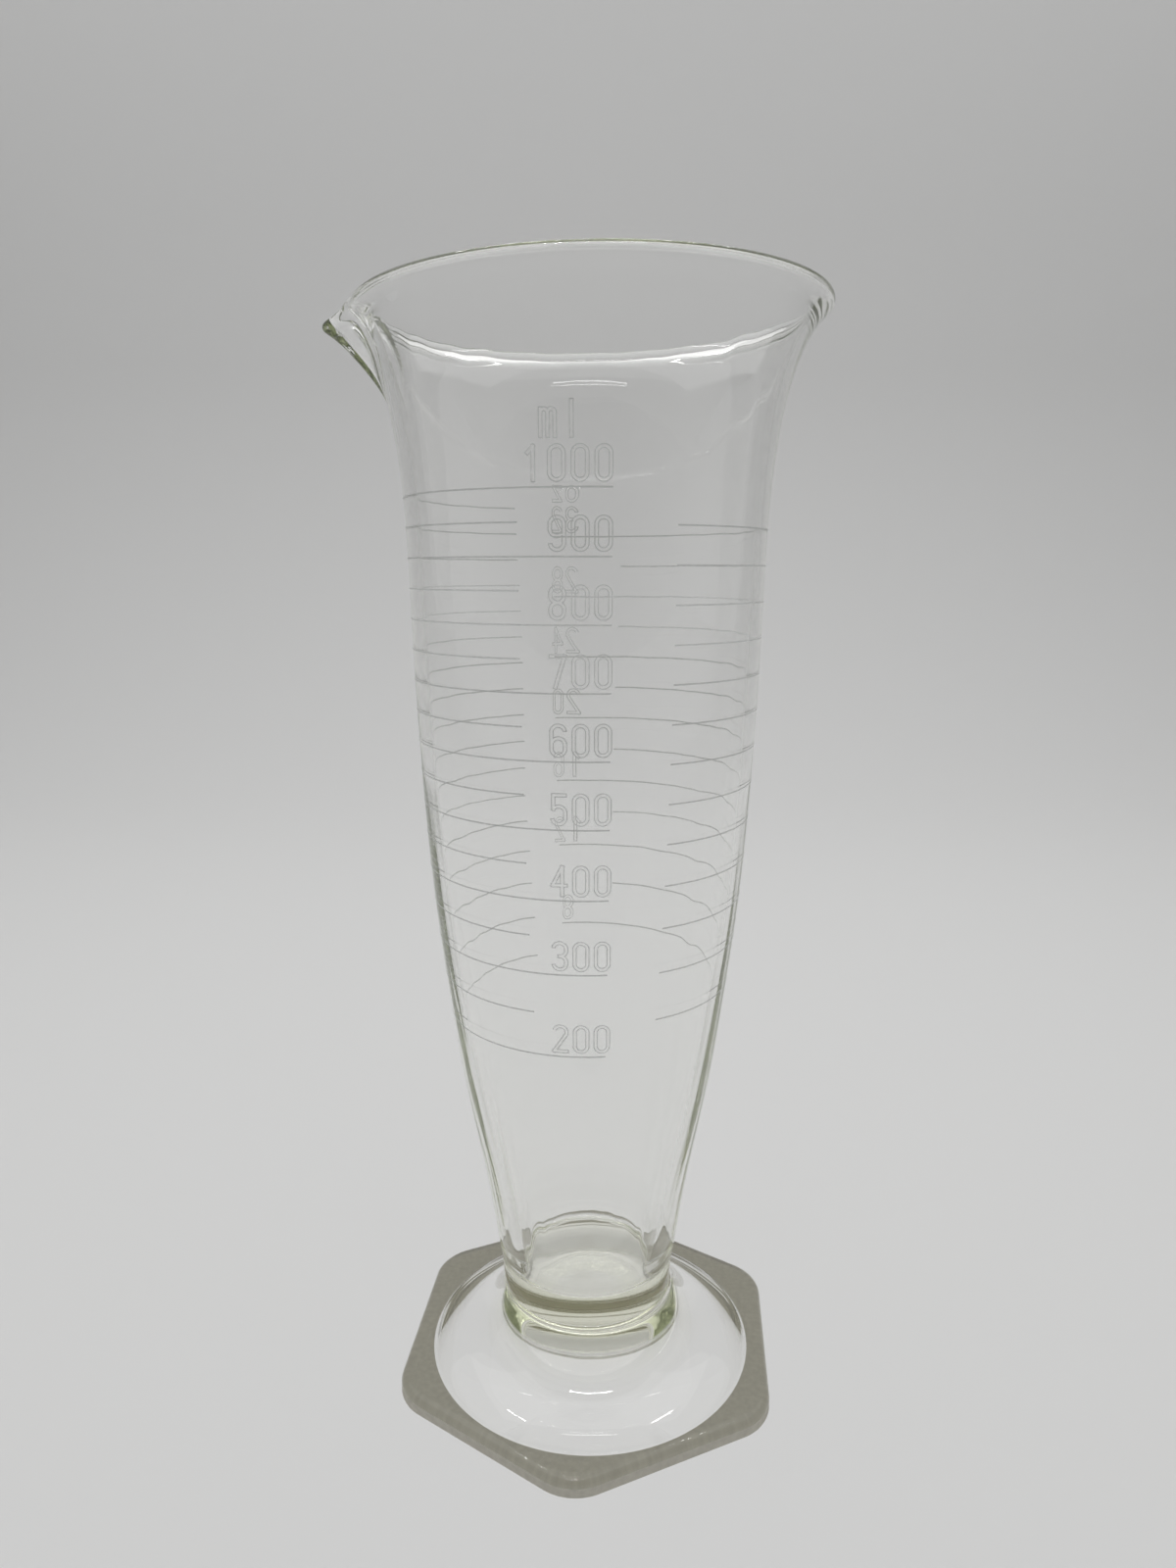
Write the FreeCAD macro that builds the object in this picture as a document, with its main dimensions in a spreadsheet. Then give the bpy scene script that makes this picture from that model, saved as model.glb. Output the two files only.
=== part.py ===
# One-litre conical graduate: a blown glass vessel with a pouring lip, fused to a pressed hexagonal foot.
#
# Millimetres. The vessel's axis is Z, the floor is z = 0, the scale in millilitres faces -Y, the spout points
# along -X and the scale in US fluid ounces is on the +X and +Y side.

import FreeCAD, Part
import math
import os
import Sketcher

V = FreeCAD.Vector
UP = V(0, 0, 1)
AXIS = V(0, 0, 0)

# Driving dimensions, written to the sheet: alias, value, what it is.
DIMENSIONS = [
    ("overall_height", 302.8, "floor to the top of the rim, over the axis"),
    ("rim_radius", 61.7, "outside of the rim, away from the spout"),
    ("rim_bead_radius", 1.8, "rounded, fire-polished edge"),
    ("bead_onset", 5.0, "height below the bead over which the wall thickens to it"),
    ("rim_lean", 54.0, "degrees from upright at which the flare meets the rim"),
    ("rim_rise", 0.017, "slope of the hand-finished rim, rising to +X"),
    ("lip_shift", 1.2, "how far the hand-worked lip stands off the axis, towards +X"),
    ("lip_start", 274.5, "height above which the lip and spout are worked"),
    ("spout_reach", 8.3, "how far the spout's tip stands out from the rim"),
    ("spout_drop", 1.9, "how far the tip hangs below the rim"),
    ("spout_half_angle", 4.0, "degrees, half width of the spout's beak"),
    ("spout_shape", 1.3, "1 for a beak that ends in a point, 2 for a round one"),
    ("shoulder_rise", 2.2, "how far the lip is turned up on each side of the tip"),
    ("shoulder_angle", 7.1, "degrees from the tip to where it is turned up most"),
    ("shoulder_width", 4.0, "degrees over which it is turned up"),
    ("vessel_base", 24.0, "underside of the vessel"),
    ("heel_round", 0.5, "rounding of the vessel's lower edge"),
    ("inner_floor", 31.0, "top of the glass floor inside"),
    ("inner_corner", 2.5, "radius where the wall meets the floor inside"),
    ("wall_low", 6.0, "wall thickness just above the floor"),
    ("wall_high", 2.4, "wall thickness in the upper third"),
    ("wall_even_height", 180.0, "height at which the wall reaches its upper thickness"),
    ("foot_corners", 124.0, "hexagon across its corners before they are rounded"),
    ("foot_turn", -5.1, "degrees the hexagon is turned from pointing to -Y"),
    ("foot_shift", 1.0, "how far the foot stands off the vessel's axis, towards +X"),
    ("foot_corner_round", 15.0, "plan radius of the hexagon's corners"),
    ("foot_edge_round", 2.2, "rounding of the flange's upper edge"),
    ("flange_height", 5.2, "thickness of the hexagonal flange"),
    ("dome_radius", 50.2, "where the foot's dome runs out on the flange"),
    ("waist_radius", 24.7, "narrowest part of the foot's neck"),
    ("waist_height", 21.2, "height of that waist"),
    ("waist_round", 1.0, "rounding of the crease at the waist"),
    ("neck_radius", 25.0, "top of the foot's neck"),
    ("neck_top", 22.4, "height of the foot's top face"),
    ("hollow_radius", 48.1, "edge of the hollow in the ground"),
    ("hollow_height", 12.5, "crown of the hollow under the foot"),
    ("seal_radius", 25.35, "bulge of the fused seal"),
    ("mark_depth", 0.08, "how far the frosted marks stand out"),
    ("line_width", 0.4, "width of a graduation line"),
    ("numeral_height", 8.3, "height of the figures"),
    ("numeral_width", 4.3, "width of one figure"),
    ("numeral_pitch", 5.3, "from one figure to the next"),
    ("stroke_width", 1.1, "width of a figure's stroke, outside its outline"),
    ("outline_width", 0.28, "width of the outline itself"),
    ("numeral_gap", 1.0, "from a line to the foot of its figures"),
    ("numeral_edge", 6.0, "right edge of the millilitre figures from the front centre"),
    ("unit_centre", -6.0, "centre of the letters ml from the front centre"),
    ("ounce_centre", 6.6, "centre of the ounce figures from the back centre"),
]

# Outer profile of the vessel between its heel and its rim: height and radius of each station.
STATIONS = [
    (31.0, 25.7),
    (36.6, 26.6),
    (41.0, 27.25),
    (63.8, 30.8),
    (89.2, 35.6),
    (114.4, 39.3),
    (146.9, 43.2),
    (174.9, 45.3),
    (208.6, 46.95),
    (239.8, 47.85),
    (257.0, 48.75),
    (272.7, 50.7),
    (285.4, 53.35),
    (293.2, 56.1),
]
HEEL_RADIUS = 25.2
HEEL_SLOPE = 0.1

MILLILITRES_PER_OUNCE = 29.5735
HUNDREDS = range(200, 1001, 100)
FIFTIES = range(250, 951, 100)
NUMBERED_OUNCES = range(8, 33, 4)
PLAIN_OUNCES = range(10, 31, 4)

# Where each family of lines starts and ends, in degrees about Z from +X.
HUNDRED_ARC = (118.0, 277.0)
FIFTY_ARC = (118.0, 250.7)
NUMBERED_OUNCE_ARC = (-64.0, 103.0)
PLAIN_OUNCE_ARC = (-64.0, 78.3)
SPOUT_ANGLE = 180.0
SPOUT_SECTOR = 24.0

# The front sector that holds the figures, which they are cut from.
FIGURE_SECTOR = (210.0, 330.0)
# How far that sector's skin reaches past the figures, above and below.
SKIN_MARGIN = 0.5

# The wall's skin is made in sectors, and its rim reaches this many section points to each side.
SECTOR_BOUNDS = [0.0, 90.0, 156.0, 204.0, 270.0, 360.0]
RIM_STEPS = 5
COARSE_TURN = 6.0
FINE_TURN = 1.5

doc = FreeCAD.newDocument("graduate")


def make_sheet():
    """The spreadsheet that holds every driving dimension."""
    table = doc.addObject("Spreadsheet::Sheet", "dims")
    rows = [(alias, value, note) for alias, value, note in DIMENSIONS]
    rows.append(("heel_radius", HEEL_RADIUS, "radius of the vessel just above its heel"))
    for number, (height, radius) in enumerate(STATIONS, 1):
        rows.append((f"station_{number}_height", height, "height of an outer profile station"))
        rows.append((f"station_{number}_radius", radius, "outer radius at that station"))
    for row, (alias, value, note) in enumerate(rows, 1):
        table.set(f"A{row}", note)
        table.set(f"B{row}", str(value))
        table.setAlias(f"B{row}", alias)
    doc.recompute()
    return table


sheet = make_sheet()


def dim(alias):
    """A driving dimension, read back from the sheet."""
    return float(getattr(sheet, alias))


def polar(radius, degrees, height):
    """A point at this radius, angle about Z and height."""
    angle = math.radians(degrees)
    return V(radius * math.cos(angle), radius * math.sin(angle), height)


# ---------------------------------------------------------------- the vessel's profile


def outer_stations():
    """Height and radius of the outer profile, from above the heel to where the rim's bead starts."""
    bead = dim("rim_bead_radius")
    lean = math.radians(dim("rim_lean"))
    points = [(dim("vessel_base") + dim("heel_round"), dim("heel_radius"))]
    for number in range(1, len(STATIONS) + 1):
        points.append((dim(f"station_{number}_height"), dim(f"station_{number}_radius")))
    centre_height = dim("overall_height") - bead
    centre_radius = dim("rim_radius") - bead
    points.append((centre_height - bead * math.sin(lean), centre_radius + bead * math.cos(lean)))
    return points


def outer_curve():
    """The outer profile as one smooth curve in the XZ plane, nearly upright at the heel."""
    points = [V(radius, 0, height) for height, radius in outer_stations()]
    lean = math.radians(dim("rim_lean"))
    curve = Part.BSplineCurve()
    curve.interpolate(
        Points=points,
        InitialTangent=V(HEEL_SLOPE, 0, 1),
        FinalTangent=V(math.sin(lean), 0, math.cos(lean)),
    )
    return curve


OUTER = outer_curve()


def outer_radius(height):
    """Radius of the outer surface at a height between the heel and the flare."""
    low, high = OUTER.FirstParameter, OUTER.LastParameter
    for _ in range(50):
        middle = (low + high) / 2
        if OUTER.value(middle).z < height:
            low = middle
        else:
            high = middle
    return OUTER.value(low).x


def wall_thickness(height):
    """Thickness across the wall: heavy near the floor, even higher up, and the bead's at the rim."""
    floor_height = dim("inner_floor")
    even = dim("wall_even_height")
    if height < even:
        share = max(0.0, (height - floor_height) / (even - floor_height))
        return dim("wall_low") + (dim("wall_high") - dim("wall_low")) * share
    share = max(0.0, 1 - (OUTER.EndPoint.z - height) / dim("bead_onset"))
    return dim("wall_high") + (2 * dim("rim_bead_radius") - dim("wall_high")) * share**2


def section_points():
    """Height and radius round the wall's section: up the outside, over the rim and down to the floor."""
    outside = []
    inside = []
    steps = 34
    first, last = OUTER.FirstParameter, OUTER.LastParameter
    # The last step is split in three, because the wall thickens to the bead there.
    for step in list(range(steps)) + [steps - 2 / 3, steps - 1 / 3, steps]:
        parameter = first + (last - first) * step / steps
        point = OUTER.value(parameter)
        along = OUTER.tangent(parameter)[0]
        outside.append((point.z, point.x))
        inner = point + V(-along.z, 0, along.x) * wall_thickness(point.z)
        inside.append((inner.z, inner.x))
    heel = dim("heel_round")
    base = dim("vessel_base")
    heel_steps = 4
    section = []
    for step in range(heel_steps):
        angle = math.radians(90.0 * step / heel_steps)
        radius = dim("heel_radius") - heel + heel * math.sin(angle)
        section.append((base + heel - heel * math.cos(angle), radius))
    section += outside
    bead = dim("rim_bead_radius")
    lean = math.radians(dim("rim_lean"))
    bead_steps = 8
    for step in range(1, bead_steps):
        angle = -lean + math.pi * step / bead_steps
        height = dim("overall_height") - bead + bead * math.sin(angle)
        section.append((height, dim("rim_radius") - bead + bead * math.cos(angle)))
    corner = dim("inner_corner")
    floor_height = dim("inner_floor")
    above_corner = [point for point in inside if point[0] > floor_height + corner]
    section += reversed(above_corner)
    corner_top_radius = outer_radius(floor_height + corner) - wall_thickness(floor_height + corner)
    corner_steps = 8
    for step in range(corner_steps + 1):
        angle = math.radians(90.0 * step / corner_steps)
        height = floor_height + corner - corner * math.sin(angle)
        section.append((height, corner_top_radius - corner + corner * math.cos(angle)))
    return section


def worked_share(height):
    """How much of the lip's hand work shows at a height: none at its start, all at the rim."""
    start = dim("lip_start")
    share = min(1.0, max(0.0, (height - start) / (dim("overall_height") - start)))
    return share * share * (3 - 2 * share)


def worked_point(height, radius, degrees):
    """A section point carried round to an angle, with the spout pulled out and the rim a little aslant."""
    share = worked_share(height)
    away = (degrees - SPOUT_ANGLE + 180.0) % 360.0 - 180.0
    beak = math.exp(-abs(away / dim("spout_half_angle")) ** dim("spout_shape"))
    shoulder = math.exp(-(((abs(away) - dim("shoulder_angle")) / dim("shoulder_width")) ** 2))
    flat = polar(radius + share * dim("spout_reach") * beak, degrees, height)
    rise = dim("rim_rise") * flat.x - dim("spout_drop") * beak + dim("shoulder_rise") * shoulder
    return V(flat.x + share * dim("lip_shift"), flat.y, height + share * rise)


def wall_angles():
    """Section angles for one turn from +X: close together at the spout and wide elsewhere."""
    angles = [0.0]
    while angles[-1] < 360.0:
        close = abs(angles[-1] - SPOUT_ANGLE + 0.1) < SPOUT_SECTOR
        angles.append(angles[-1] + (FINE_TURN if close else COARSE_TURN))
    return angles


def spline_poles(points, stations):
    """Control points of the smooth cubic curve through some points, two between each pair."""
    steps = [after - before for before, after in zip(stations, stations[1:])]
    chords = [(after - before) * (1 / step) for before, after, step in zip(points, points[1:], steps)]
    slopes = [chords[0]]
    for before, after, width, next_width in zip(chords, chords[1:], steps, steps[1:]):
        slopes.append((before * next_width + after * width) * (1 / (width + next_width)))
    slopes.append(chords[-1])
    poles = [points[0]]
    for number, step in enumerate(steps):
        poles.append(points[number] + slopes[number] * (step / 3))
        poles.append(points[number + 1] - slopes[number + 1] * (step / 3))
    poles.append(points[-1])
    return poles


def spline_multiplicities(count):
    """Knot multiplicities that go with spline_poles."""
    return [4] + [2] * (count - 2) + [4]


def stretch(points, poles, first, last):
    """The control points of one stretch of a smooth curve, from one of its points to another."""
    return [points[first]] + poles[2 * first + 1 : 2 * last + 1] + [points[last]]


def wall_patch(table, angles, lengths, turn_span, section_span):
    """One face of the wall's skin, between two of its angles and two of its section points."""
    rows = []
    for points in table:
        rows.append(stretch(points, spline_poles(points, lengths), *section_span))
    columns = []
    for column in zip(*rows):
        columns.append(stretch(list(column), spline_poles(list(column), angles), *turn_span))
    knots_round = angles[turn_span[0] : turn_span[1] + 1]
    knots_along = lengths[section_span[0] : section_span[1] + 1]
    surface = Part.BSplineSurface()
    surface.buildFromPolesMultsKnots(
        [list(row) for row in zip(*columns)],
        spline_multiplicities(len(knots_round)),
        spline_multiplicities(len(knots_along)),
        knots_round,
        knots_along,
        False,
        False,
        3,
        3,
    )
    return surface.toShape().Faces[0]


def wall_skin():
    """The wall's faces: outside, rim and inside, each in sectors that meet smoothly."""
    section = section_points()
    lengths = [0.0]
    for before, after in zip(section, section[1:]):
        lengths.append(lengths[-1] + math.dist(before, after))
    turn = wall_angles()
    angles = [turn[0] - COARSE_TURN] + turn + [turn[-1] + COARSE_TURN]
    table = []
    for angle in angles:
        table.append([worked_point(height, radius, angle) for height, radius in section])
    rim = max(range(len(section)), key=lambda number: section[number][0])
    section_bounds = [0, rim - RIM_STEPS, rim + RIM_STEPS, len(section) - 1]
    turn_bounds = [angles.index(bound) for bound in SECTOR_BOUNDS]
    faces = []
    for turn_span in zip(turn_bounds, turn_bounds[1:]):
        for section_span in zip(section_bounds, section_bounds[1:]):
            faces.append(wall_patch(table, angles, lengths, turn_span, section_span))
    return faces


def flat_closure(faces, height):
    """The flat disc that closes the wall's skin at its base or at its inner floor."""
    rims = []
    for face in faces:
        for edge in face.Edges:
            ends = [abs(vertex.Point.z - height) for vertex in edge.Vertexes]
            if max(ends) < 1e-3:
                rims.append(edge)
    return Part.Face(Part.Wire(rims))


def make_vessel():
    """The blown vessel: wall, rim and spout in one skin, closed by its base and its inner floor."""
    faces = wall_skin()
    closures = [flat_closure(faces, dim(level)) for level in ("vessel_base", "inner_floor")]
    skin = Part.makeShell(faces + closures)
    skin.sewShape(1e-4)
    solid = Part.Solid(skin)
    if solid.Volume < 0:
        solid.reverse()
    return solid


# ---------------------------------------------------------------- where the graduations stand


def filled_heights(volumes):
    """Height of the liquid's surface for each volume in millilitres, by summing thin discs."""
    floor_height = dim("inner_floor")
    corner = dim("inner_corner")
    slice_height = 0.1
    filled = 0.0
    height = floor_height
    found = []
    for volume in volumes:
        while filled < volume:
            middle = height + slice_height / 2
            radius = outer_radius(middle) - wall_thickness(middle)
            above = middle - floor_height
            if above < corner:
                radius -= corner - math.sqrt(corner**2 - (corner - above) ** 2)
            filled += math.pi * radius**2 * slice_height / 1000.0
            height += slice_height
        found.append(height)
    return found


def graduations(values, unit_volume):
    """Pairs of a scale value and the height of its line."""
    return list(zip(values, filled_heights([value * unit_volume for value in values])))


HUNDRED_LINES = graduations(HUNDREDS, 1.0)
FIFTY_LINES = graduations(FIFTIES, 1.0)
NUMBERED_OUNCE_LINES = graduations(NUMBERED_OUNCES, MILLILITRES_PER_OUNCE)
PLAIN_OUNCE_LINES = graduations(PLAIN_OUNCES, MILLILITRES_PER_OUNCE)


# ---------------------------------------------------------------- marks on the glass


def line_band(height, start, end):
    """One graduation line: a thin band of frosting that follows the glass between two angles."""
    half = dim("line_width") / 2
    depth = dim("mark_depth")
    low, high = height - half, height + half
    corners = [
        V(outer_radius(low), 0, low),
        V(outer_radius(low) + depth, 0, low),
        V(outer_radius(high) + depth, 0, high),
        V(outer_radius(high), 0, high),
    ]
    face = Part.Face(Part.makePolygon(corners + corners[:1]))
    face.rotate(AXIS, UP, start)
    return face.revolve(AXIS, UP, end - start)


def line_family(lines, arc):
    """All lines of one length, as a group of separate bands."""
    return Part.makeCompound([line_band(height, *arc) for _, height in lines])


# A figure is drawn in its own plane on strokes through the middle of its outline. The unit is half the
# distance between its left and right strokes, so bowls are arcs of radius 1 and TALL is half its height.
# A stroke is ("line", x1, z1, x2, z2) or ("arc", centre x, centre z, radius, first angle, last angle).


def figure_proportions():
    """Half width of a figure between its strokes in millimetres, and its half height in that unit."""
    stroke = dim("stroke_width")
    half_width = (dim("numeral_width") - stroke) / 2
    return half_width, (dim("numeral_height") - stroke) / 2 / half_width


HALF_WIDTH, TALL = figure_proportions()
BOWL = TALL - 1.0
WAIST = max(0.0, TALL - 2.0)


def ring(low, high):
    """A closed loop of two half circles and two sides, between two heights."""
    return [
        ("arc", 0, high - 1, 1, 0, 180),
        ("arc", 0, low + 1, 1, 180, 360),
        ("line", -1, low + 1, -1, high - 1),
        ("line", 1, low + 1, 1, high - 1),
    ]


def half_turned(strokes):
    """The same strokes turned half round, as a nine is a six turned."""
    turned = []
    for stroke in strokes:
        if stroke[0] == "line":
            turned.append(("line",) + tuple(-value for value in stroke[1:]))
        else:
            kind, x, z, radius, first, last = stroke
            turned.append((kind, -x, -z, radius, first + 180, last + 180))
    return turned


SIX = ring(-TALL, 0.35) + [
    ("line", -1, -BOWL, -1, BOWL),
    ("arc", 0, BOWL, 1, 25, 180),
]

FIGURES = {
    "0": ring(-TALL, TALL),
    "1": [("line", 0, -TALL, 0, TALL), ("line", 0, TALL, -0.75, TALL - 0.85)],
    "2": [
        ("arc", 0, BOWL, 1, -30, 165),
        ("line", math.cos(math.radians(30)), BOWL - 0.5, -1, -TALL),
        ("line", -1, -TALL, 1, -TALL),
    ],
    "3": [
        ("arc", 0, BOWL, 1, 0, 155),
        ("line", 1, BOWL, 1, BOWL - WAIST),
        ("arc", 0, BOWL - WAIST, 1, -90, 0),
        ("arc", 0, WAIST - BOWL, 1, 0, 90),
        ("line", 1, WAIST - BOWL, 1, -BOWL),
        ("arc", 0, -BOWL, 1, -155, 0),
    ],
    "4": [
        ("line", 0.45, TALL, -1, -0.7),
        ("line", -1, -0.7, 1, -0.7),
        ("line", 0.45, TALL, 0.45, -TALL),
    ],
    "5": [
        ("line", -0.8, TALL, 0.9, TALL),
        ("line", -0.8, TALL, -0.8, 0.1),
        ("arc", 0, -0.5, 1, 0, 143),
        ("line", 1, -0.5, 1, -BOWL),
        ("arc", 0, -BOWL, 1, -155, 0),
    ],
    "6": SIX,
    "7": [("line", -1, TALL, 1, TALL), ("line", 1, TALL, -0.35, -TALL)],
    "8": ring(-TALL, 0) + ring(0, TALL),
    "9": half_turned(SIX),
    "m": [
        ("line", -1, -TALL, -1, BOWL),
        ("line", 0, -TALL, 0, BOWL - 0.5),
        ("line", 1, -TALL, 1, BOWL - 0.5),
        ("arc", -0.5, BOWL - 0.5, 0.5, 0, 180),
        ("arc", 0.5, BOWL - 0.5, 0.5, 0, 180),
    ],
    "l": [("line", 0, -TALL, 0, TALL)],
    "o": ring(-TALL, -TALL + 2.6),
    "z": [
        ("line", -0.9, -TALL + 2.6, 0.9, -TALL + 2.6),
        ("line", 0.9, -TALL + 2.6, -0.9, -TALL),
        ("line", -0.9, -TALL, 0.9, -TALL),
    ],
}


def stroke_face(stroke, width):
    """A flat face in the XZ plane: one stroke of a figure, this wide, in millimetres."""
    if stroke[0] == "line":
        start = V(stroke[1], 0, stroke[2]) * HALF_WIDTH
        end = V(stroke[3], 0, stroke[4]) * HALF_WIDTH
        along = (end - start).normalize() * (width / 2)
        across = V(-along.z, 0, along.x)
        start, end = start - along, end + along
        corners = [start + across, end + across, end - across, start - across]
        return Part.Face(Part.makePolygon(corners + corners[:1]))
    _, x, z, radius, first, last = stroke
    centre = V(x, 0, z) * HALF_WIDTH
    middle = radius * HALF_WIDTH
    extra = 0.0 if last - first >= 180 else math.degrees(width / 2 / middle)
    inner, outer = middle - width / 2, middle + width / 2

    def at(distance, degrees):
        angle = math.radians(degrees)
        return centre + V(math.cos(angle), 0, math.sin(angle)) * distance

    first, last = first - extra, last + extra
    mean = (first + last) / 2
    edges = [
        Part.Arc(at(outer, first), at(outer, mean), at(outer, last)).toShape(),
        Part.LineSegment(at(outer, last), at(inner, last)).toShape(),
        Part.Arc(at(inner, last), at(inner, mean), at(inner, first)).toShape(),
        Part.LineSegment(at(inner, first), at(outer, first)).toShape(),
    ]
    return Part.Face(Part.Wire(edges))


def figure_prism(name, width, depth):
    """All strokes of a figure at one width, pushed forward past the front of the glass."""
    prisms = [stroke_face(stroke, width).extrude(V(0, -depth, 0)) for stroke in FIGURES[name]]
    return prisms[0].multiFuse(prisms[1:]) if len(prisms) > 1 else prisms[0]


def outlined_figure(name):
    """A figure drawn in double outline: its broad strokes less narrower ones."""
    depth = dim("rim_radius")
    stroke = dim("stroke_width")
    return figure_prism(name, stroke, depth).cut(
        figure_prism(name, stroke - 2 * dim("outline_width"), depth)
    )


PRISMS = {name: outlined_figure(name) for name in FIGURES}


def glass_skin(low, high):
    """A thin skin of frosting over the outer surface between two heights, to cut figures from."""
    depth = dim("mark_depth")
    steps = 6
    heights = [low + (high - low) * step / steps for step in range(steps + 1)]
    near = [V(outer_radius(height), 0, height) for height in heights]
    far = [point + V(depth, 0, 0) for point in near]
    curves = []
    for points in (near, far):
        curve = Part.BSplineCurve()
        curve.interpolate(points)
        curves.append(curve.toShape())
    top = Part.LineSegment(near[-1], far[-1]).toShape()
    bottom = Part.LineSegment(near[0], far[0]).toShape()
    face = Part.Face(Part.Wire(Part.__sortEdges__(curves + [top, bottom])))
    start, end = FIGURE_SECTOR
    face.rotate(AXIS, UP, start)
    return face.revolve(AXIS, UP, end - start)


def lettering(text, centre, foot_height):
    """A word or number on the front of the glass, standing at a height and centred at x = centre."""
    pitch = dim("numeral_pitch")
    tall = dim("numeral_height")
    skin = glass_skin(foot_height - SKIN_MARGIN, foot_height + tall + SKIN_MARGIN)
    marks = []
    for place, name in enumerate(text):
        prism = PRISMS[name].copy()
        x = centre + (place - (len(text) - 1) / 2) * pitch
        prism.translate(V(x, 0, foot_height + tall / 2))
        marks += skin.common(prism).Solids
    return marks


def millilitre_centre(text):
    """Centre of a front number, so that its right edge stands where all the others do."""
    length = (len(text) - 1) * dim("numeral_pitch") + dim("numeral_width")
    return dim("numeral_edge") - length / 2


def make_millilitre_figures():
    """The front numbers, one over each long line."""
    marks = []
    for value, height in HUNDRED_LINES:
        marks += lettering(str(value), millilitre_centre(str(value)), height + dim("numeral_gap"))
    return Part.makeCompound(marks)


def make_ounce_figures():
    """The back numbers, one over each numbered line, turned to be read from behind."""
    marks = []
    for value, height in NUMBERED_OUNCE_LINES:
        marks += lettering(str(value), dim("ounce_centre"), height + dim("numeral_gap"))
    return Part.makeCompound(turned_behind(marks))


def unit_height(lines):
    """Foot of the unit's letters: one row of figures above the highest number."""
    return lines[-1][1] + 2 * dim("numeral_gap") + dim("numeral_height")


def turned_behind(marks):
    """The same marks turned to the back of the glass."""
    return [mark.rotated(AXIS, UP, 180) for mark in marks]


def make_millilitre_unit():
    """The unit over the front scale."""
    return Part.makeCompound(lettering("ml", dim("unit_centre"), unit_height(HUNDRED_LINES)))


def make_ounce_unit():
    """The unit over the back scale."""
    marks = lettering("oz", dim("ounce_centre"), unit_height(NUMBERED_OUNCE_LINES))
    return Part.makeCompound(turned_behind(marks))


# ---------------------------------------------------------------- foot and seal


def plane_of(body, role):
    """An origin plane of a body, found by its role."""
    return [feature for feature in body.Origin.OriginFeatures if feature.Role == role][0]


def new_sketch(body, name, role):
    """An empty sketch flat on one of its body's origin planes."""
    sketch = body.newObject("Sketcher::SketchObject", name)
    sketch.AttachmentSupport = [(plane_of(body, role), "")]
    sketch.MapMode = "FlatFace"
    return sketch


def bind(sketch, index, expression):
    """Tie one constraint's value to the sheet."""
    sketch.setExpression(f"Constraints[{index}]", expression)


def pin_point(sketch, geometry, end, horizontal, vertical):
    """Place one end of a sketch line by two expressions, measured from the sketch's origin."""
    for kind, expression in (("DistanceX", horizontal), ("DistanceY", vertical)):
        if expression == "0":
            axis = -2 if kind == "DistanceX" else -1
            sketch.addConstraint(Sketcher.Constraint("PointOnObject", geometry, end, axis))
            continue
        place = sketch.getPoint(geometry, end)
        value = place.x if kind == "DistanceX" else place.y
        index = sketch.addConstraint(Sketcher.Constraint(kind, -1, 1, geometry, end, value))
        bind(sketch, index, expression)


def join_ends(sketch, pieces):
    """Join a closed run of lines and arcs, each given with its first and last end."""
    for (piece, _, last), (following, first, _) in zip(pieces, pieces[1:] + pieces[:1]):
        sketch.addConstraint(Sketcher.Constraint("Coincident", piece, last, following, first))


def edges_at(shape, test):
    """Names of the edges whose middle point passes a test."""
    names = []
    for number, edge in enumerate(shape.Edges, 1):
        middle = edge.valueAt((edge.FirstParameter + edge.LastParameter) / 2)
        if test(edge, middle):
            names.append(f"Edge{number}")
    return names


def turn_section(body, kind, name, sketch):
    """A full revolution or groove of a sketch about the body's upright axis."""
    feature = body.newObject(kind, name)
    feature.Profile = sketch
    feature.ReferenceAxis = (sketch, ["V_Axis"])
    feature.Angle = 360
    return feature


def add_flange(body):
    """The hexagonal plate, with rounded corners and a rounded upper edge."""
    plan = new_sketch(body, "flange_plan", "XY_Plane")
    corner_radius = dim("foot_corners") / 2
    circle = plan.addGeometry(Part.Circle(AXIS, UP, corner_radius), True)
    plan.addConstraint(Sketcher.Constraint("Coincident", circle, 3, -1, 1))
    size = plan.addConstraint(Sketcher.Constraint("Radius", circle, corner_radius))
    bind(plan, size, "dims.foot_corners / 2")
    corners = [polar(corner_radius, -90 + 60 * number, 0) for number in range(6)]
    sides = []
    for start, end in zip(corners, corners[1:] + corners[:1]):
        sides.append(plan.addGeometry(Part.LineSegment(start, end), False))
    join_ends(plan, [(side, 1, 2) for side in sides])
    for side in sides:
        plan.addConstraint(Sketcher.Constraint("PointOnObject", side, 1, circle))
    for side in sides[1:]:
        plan.addConstraint(Sketcher.Constraint("Equal", sides[0], side))
    plan.addConstraint(Sketcher.Constraint("PointOnObject", sides[0], 1, -2))
    flange = body.newObject("PartDesign::Pad", "flange")
    flange.Profile = plan
    flange.setExpression("Length", "dims.flange_height")
    doc.recompute()

    corner_rounds = body.newObject("PartDesign::Fillet", "corner_rounds")
    upright = edges_at(flange.Shape, lambda edge, middle: edge.BoundBox.ZLength > 1)
    corner_rounds.Base = (flange, upright)
    corner_rounds.setExpression("Radius", "dims.foot_corner_round")
    doc.recompute()

    edge_round = body.newObject("PartDesign::Fillet", "edge_round")
    top = dim("flange_height")
    upper = edges_at(corner_rounds.Shape, lambda edge, middle: abs(middle.z - top) < 1e-4)
    edge_round.Base = (corner_rounds, upper)
    edge_round.setExpression("Radius", "dims.foot_edge_round")
    doc.recompute()


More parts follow.
